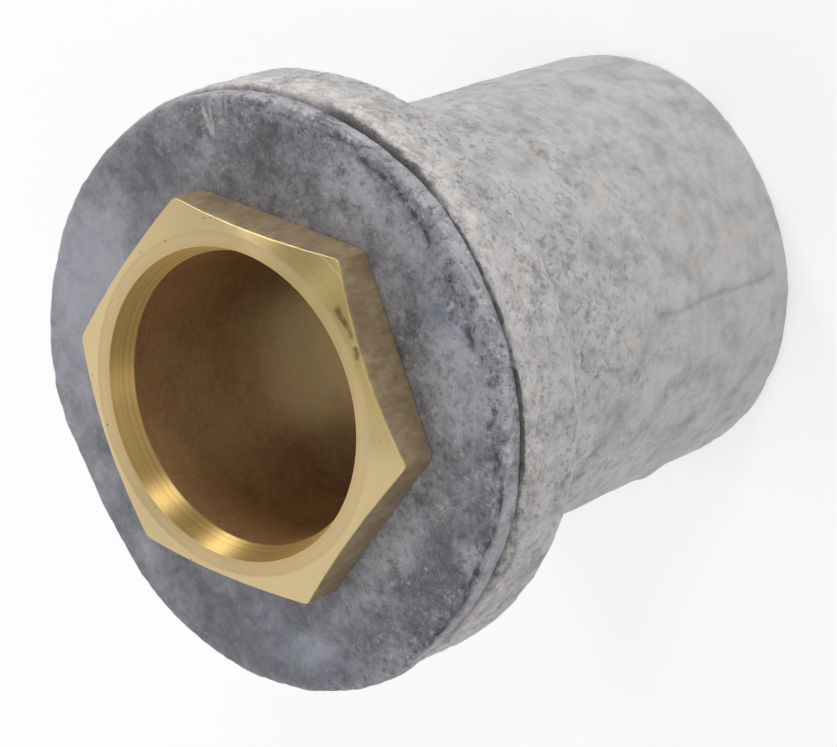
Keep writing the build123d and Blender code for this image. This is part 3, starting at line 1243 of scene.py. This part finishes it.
def bushNicks(points, angles, half, seat):
    # the nick and the small dents in the hexagon's top edge, 0 to 1
    b = bush
    radius = np.hypot(points[..., 0], points[..., 1])
    around = np.broadcast_to(angles % 360.0, radius.shape)
    # how far each point lies inside the nearest flat
    inside = half - radius * np.cos(np.radians((around + 30.0) % 60.0 - 30.0))
    low, high = b["nickAngles"]
    start, end = b["nickInsets"]
    part = (around - low) / (high - low)
    middle = start + (end - start) * part + b["nickWander"] * softNoise(points, 0.5, b["seed"] + 11)
    fade, wider = b["nickSoftness"]
    away = np.abs(inside - middle) / b["nickHalfWidth"]
    nick = 1.0 - easedStep(away, 0.3, fade + wider * np.clip(part, 0.0, 1.0))
    nick = nick * between(around, low, high)
    size, low, high = b["dents"]
    dent = hump(inside, *b["dentBand"]) * easedStep(softNoise(points, size, b["seed"] + 8), low, high)
    nick += dent * between(around, *b["dentAngles"])
    return nick * (points[..., 2] > seat + 1.0) * (0.6 + 0.3 * softNoise(points, 0.4, b["seed"]))


def makeBush(faceMetal, flatMetal, boreMetal):
    # ring, corner cone, hexagon, relief, shank and bore in one closed section that follows the hexagon
    b = bush
    # columns crowd towards the hexagon's corners
    even = np.arange(b["columns"]) * 360.0 / b["columns"]
    angles = even + np.degrees(b["cornerCrowding"] * np.sin(np.radians(6.0 * even)))
    half = bushHigh[0]
    hexagon = hexagonRadius(angles, half, b["cornerPower"])
    face, end = bushHigh[2], bushLow[2]
    seat = washerHigh[2]
    coneEdge = face - (hexagon - b["faceRingRadius"]) * math.tan(math.radians(b["coneAngle"]))
    root = thread["outsideRoot"]
    shank = root + 0.02
    # each corner is (across, up, round, steps), then the metal of the side that follows it
    onFace, onFlat, onBore = 0, 1, 2
    sides = [
        ((boreRadius + b["boreEndChamfer"], end, 0.0, 2), onFlat),
        ((root, end, 0.0, 2), onBore),
        ((shank, end + 0.3, 0.0, 24), onBore),
        ((shank, seat - b["reliefWidth"] - 0.2, 0.0, 2), onBore),
        ((b["reliefRadius"], seat - b["reliefWidth"], 0.0, 4), onBore),
        ((b["reliefRadius"], seat, 0.15, 6), onFlat),
        ((hexagon, seat, b["backEdge"], 16), onFlat),
        ((hexagon, coneEdge, b["topEdge"], 24), onFace),
        ((b["faceRingRadius"], face, 0.0, 8), onFace),
        ((b["mouthRadius"], face, b["mouthEdge"], 14), onFace),
        ((boreRadius, face - b["mouthDepth"], 0.4, 60), onBore),
        ((boreRadius, end + b["boreEndChamfer"], 0.0, 2), onBore),
    ]
    section, stretch = roundedSection([corner for corner, metal in sides], angles, arcSteps=6)
    points = roundTheAxis(section, angles)
    radius = np.hypot(points[..., 0], points[..., 1])
    toEdge = np.hypot(radius - hexagon, points[..., 2] - coneEdge)
    size, low, high = b["wear"]
    wear = hump(toEdge, 0.0, b["wearSpread"]) * easedStep(softNoise(points, size, b["seed"] + 3), low, high)
    nick = bushNicks(points, angles, half, seat)
    points = points - outward(points) * (b["wearDepth"] * wear + b["nickDepth"] * nick)[..., None]
    metals = np.array([metal for corner, metal in sides])[stretch]
    piece = gridPiece("turnedBush", points, [faceMetal, flatMetal, boreMetal], metals, "bush")
    rub = hump(toEdge, 0.0, b["rubSpread"]) * (0.6 + 0.6 * softNoise(points, *b["rub"]))
    storeOnPoints(piece, "rub", np.clip(rub, 0.0, 1.0))
    storeOnPoints(piece, "nick", nick)
    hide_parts("brass_bush")
    return piece


boreMetal = boreSurface()
makeBush(faceSurface(), flatsSurface(), boreMetal)
shankSpan = (bushLow[2] + 0.35, washerHigh[2] - bush["reliefWidth"] - 0.25)
shankRadii = (thread["outsideRoot"], threadRadius - runningGap)
threadRidge("shankThread", shankSpan, shankRadii, threadPitch / 2, boreMetal, "bush")
print("brass bush and its thread made")
